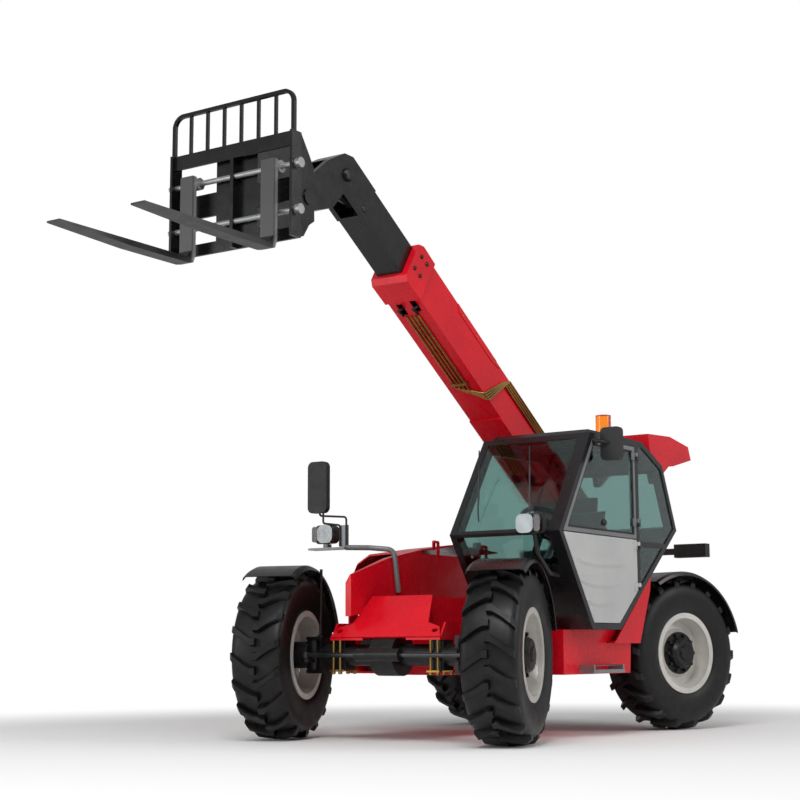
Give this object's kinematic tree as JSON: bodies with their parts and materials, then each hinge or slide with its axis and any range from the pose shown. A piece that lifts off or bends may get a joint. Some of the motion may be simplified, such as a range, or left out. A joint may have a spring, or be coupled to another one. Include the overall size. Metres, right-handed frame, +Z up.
{
  "type": "telehandler",
  "caption": "Compact telescopic handler with forks: raised boom on the right of a closed cab, four steered wheels, opening doors and hood.",
  "frame": {"origin": "centre of the machine between fork tips and rear plate, midway between the wheels, on the ground", "axes": "+X forward, +Y to the machine's left, +Z up"},
  "size_m": [6.785, 2.6456, 4.3025],
  "materials": {
    "arm_grey": "satin",
    "black_paint": "satin",
    "cab_grey": "satin",
    "cab_paint": "satin",
    "cast_black": "matte",
    "chrome_rod": "polished",
    "dark_cylinder": "gloss",
    "door_grey": "satin",
    "engine_iron": "matte",
    "fender_plastic": "satin",
    "glass_green": "polished",
    "lens_amber": "gloss",
    "lens_clear": "polished",
    "pipe_zinc": "satin",
    "plastic_dark": "matte",
    "red_paint": "gloss",
    "rim_silver": "satin",
    "seat_fabric": "matte",
    "steel_grey": "satin",
    "tyre_rubber": "matte",
    "zinc": "satin"
  },
  "bodies": {
    "chassis": {"chassis_frame": "red_paint", "front_axle": "cast_black", "rear_axle": "cast_black", "axle_clamps": "zinc", "engine_block": "engine_iron", "exhaust": "steel_grey", "counterweight": "cast_black", "cab_frame": "cab_paint", "cab_side_frame": "cab_grey", "windscreen": "glass_green", "cab_windows": "glass_green", "seat": "seat_fabric", "steering_console": "plastic_dark", "cab_rear_housing": "red_paint", "beacon": "lens_amber", "headlamps": "plastic_dark", "lamp_lenses": "lens_clear", "indicator_lenses": "lens_amber", "lamp_arm": "arm_grey", "mirrors": "plastic_dark", "step": "steel_grey", "rear_lamp_bar": "plastic_dark"},
    "hood": {"hood": "red_paint"},
    "door_lower": {"door_lower": "door_grey"},
    "door_upper": {"door_upper": "cab_grey", "door_window": "glass_green", "door_mirror": "plastic_dark"},
    "boom": {"boom_outer": "red_paint", "boom_pipes": "pipe_zinc"},
    "inner_boom": {"boom_inner": "black_paint"},
    "carriage": {"carriage_frame": "black_paint", "load_guard": "black_paint", "fork_shafts": "zinc", "forks": "black_paint"},
    "lift_barrel": {"lift_barrel": "dark_cylinder"},
    "lift_rod": {"lift_rod": "chrome_rod"},
    "tilt_barrel": {"tilt_barrel": "dark_cylinder"},
    "tilt_rod": {"tilt_rod": "chrome_rod"},
    "front_steer_rod": {"front_steer_rod": "chrome_rod"},
    "rear_steer_rod": {"rear_steer_rod": "chrome_rod"},
    "knuckle_front_left": {"knuckle_front_left": "cast_black", "fender_front_left": "fender_plastic"},
    "wheel_front_left": {"hub_front_left": "cast_black", "rim_front_left": "rim_silver", "tyre_front_left": "tyre_rubber"},
    "knuckle_front_right": {"knuckle_front_right": "cast_black", "fender_front_right": "fender_plastic"},
    "wheel_front_right": {"hub_front_right": "cast_black", "rim_front_right": "rim_silver", "tyre_front_right": "tyre_rubber"},
    "knuckle_rear_left": {"knuckle_rear_left": "cast_black", "fender_rear_left": "fender_plastic"},
    "wheel_rear_left": {"hub_rear_left": "cast_black", "rim_rear_left": "rim_silver", "tyre_rear_left": "tyre_rubber"},
    "knuckle_rear_right": {"knuckle_rear_right": "cast_black", "fender_rear_right": "fender_plastic"},
    "wheel_rear_right": {"hub_rear_right": "cast_black", "rim_rear_right": "rim_silver", "tyre_rear_right": "tyre_rubber"}
  },
  "joints": [
    {"name": "boom_lift", "type": "hinge", "parent": "chassis", "child": "boom", "pos_m": [-3.0425, -0.1, 1.48], "axis": [0, -1, 0], "range_deg": [-33, 33]},
    {"name": "boom_extend", "type": "slide", "parent": "boom", "child": "inner_boom", "axis": [0.8387, 0, 0.5446], "range_m": [-0.59, 1.9]},
    {"name": "carriage_tilt", "type": "hinge", "parent": "inner_boom", "child": "carriage", "pos_m": [1.5275, -0.1, 3.76], "axis": [0, 1, 0], "range_deg": [-46, 60]},
    {"name": "lift_barrel_swing", "type": "hinge", "parent": "chassis", "child": "lift_barrel", "pos_m": [-1.3925, -0.1, 0.56], "axis": [0, -1, 0], "range_deg": [-9.59, 9.59]},
    {"name": "lift_rod_slide", "type": "slide", "parent": "lift_barrel", "child": "lift_rod", "axis": [-0.648, 0, 0.7616], "range_m": [-0.4104, 0.4104]},
    {"name": "tilt_barrel_swing", "type": "hinge", "parent": "inner_boom", "child": "tilt_barrel", "pos_m": [0.70636, -0.1, 3.91454], "axis": [0, -1, 0], "range_deg": [-6.07, 4.77]},
    {"name": "tilt_rod_slide", "type": "slide", "parent": "tilt_barrel", "child": "tilt_rod", "axis": [0.9924, 0, 0.123], "range_m": [-0.1896, 0.2457]},
    {"name": "door_lower_hinge", "type": "hinge", "parent": "chassis", "child": "door_lower", "pos_m": [-1.3245, 1.152, 1.15], "axis": [0, 0, 1], "range_deg": [0, 95]},
    {"name": "door_upper_hinge", "type": "hinge", "parent": "chassis", "child": "door_upper", "pos_m": [-1.3245, 1.152, 1.88], "axis": [0, 0, 1], "range_deg": [0, 95]},
    {"name": "hood_hinge", "type": "hinge", "parent": "chassis", "child": "hood", "pos_m": [-1.0505, -0.323, 1.505], "axis": [-1, 0, 0], "range_deg": [0, 50]},
    {"name": "steer_front_left", "type": "hinge", "parent": "chassis", "child": "knuckle_front_left", "pos_m": [0.4075, 0.7, 0.62], "axis": [0, 0, 1], "range_deg": [-51, 19]},
    {"name": "steer_front_right", "type": "hinge", "parent": "chassis", "child": "knuckle_front_right", "pos_m": [0.4075, -0.7, 0.62], "axis": [0, 0, 1], "range_deg": [-51, 19]},
    {"name": "steer_rear_left", "type": "hinge", "parent": "chassis", "child": "knuckle_rear_left", "pos_m": [-2.3925, 0.7, 0.62], "axis": [0, 0, 1], "range_deg": [-17, 53]},
    {"name": "steer_rear_right", "type": "hinge", "parent": "chassis", "child": "knuckle_rear_right", "pos_m": [-2.3925, -0.7, 0.62], "axis": [0, 0, 1], "range_deg": [-17, 53]},
    {"name": "front_rod_slide", "type": "slide", "parent": "chassis", "child": "front_steer_rod", "axis": [0, 1, 0], "range_m": [-0.1481, 0.0571]},
    {"name": "rear_rod_slide", "type": "slide", "parent": "chassis", "child": "rear_steer_rod", "axis": [0, 1, 0], "range_m": [-0.1538, 0.0514]},
    {"name": "wheel_front_left_spin", "type": "hinge", "parent": "knuckle_front_left", "child": "wheel_front_left", "pos_m": [0.34135, 0.9307, 0.62], "axis": [-0.2756, 0.9613, 0], "continuous": true},
    {"name": "wheel_front_right_spin", "type": "hinge", "parent": "knuckle_front_right", "child": "wheel_front_right", "pos_m": [0.47365, -0.9307, 0.62], "axis": [-0.2756, 0.9613, 0], "continuous": true},
    {"name": "wheel_rear_left_spin", "type": "hinge", "parent": "knuckle_rear_left", "child": "wheel_rear_left", "pos_m": [-2.31834, 0.92825, 0.62], "axis": [0.309, 0.9511, 0], "continuous": true},
    {"name": "wheel_rear_right_spin", "type": "hinge", "parent": "knuckle_rear_right", "child": "wheel_rear_right", "pos_m": [-2.46666, -0.92825, 0.62], "axis": [0.309, 0.9511, 0], "continuous": true}
  ],
  "couplings": [
    {"joint": "lift_barrel_swing", "follows": "boom_lift", "ratio": -0.27},
    {"joint": "lift_rod_slide", "follows": "boom_lift", "m_per_rad": 0.69},
    {"joint": "tilt_barrel_swing", "follows": "carriage_tilt", "ratio": -0.091},
    {"joint": "tilt_rod_slide", "follows": "carriage_tilt", "m_per_rad": 0.22538},
    {"joint": "steer_front_right", "follows": "steer_front_left", "ratio": 1},
    {"joint": "front_rod_slide", "follows": "steer_front_left", "m_per_rad": 0.1598},
    {"joint": "steer_rear_right", "follows": "steer_rear_left", "ratio": 1},
    {"joint": "rear_rod_slide", "follows": "steer_rear_left", "m_per_rad": -0.1598}
  ]
}
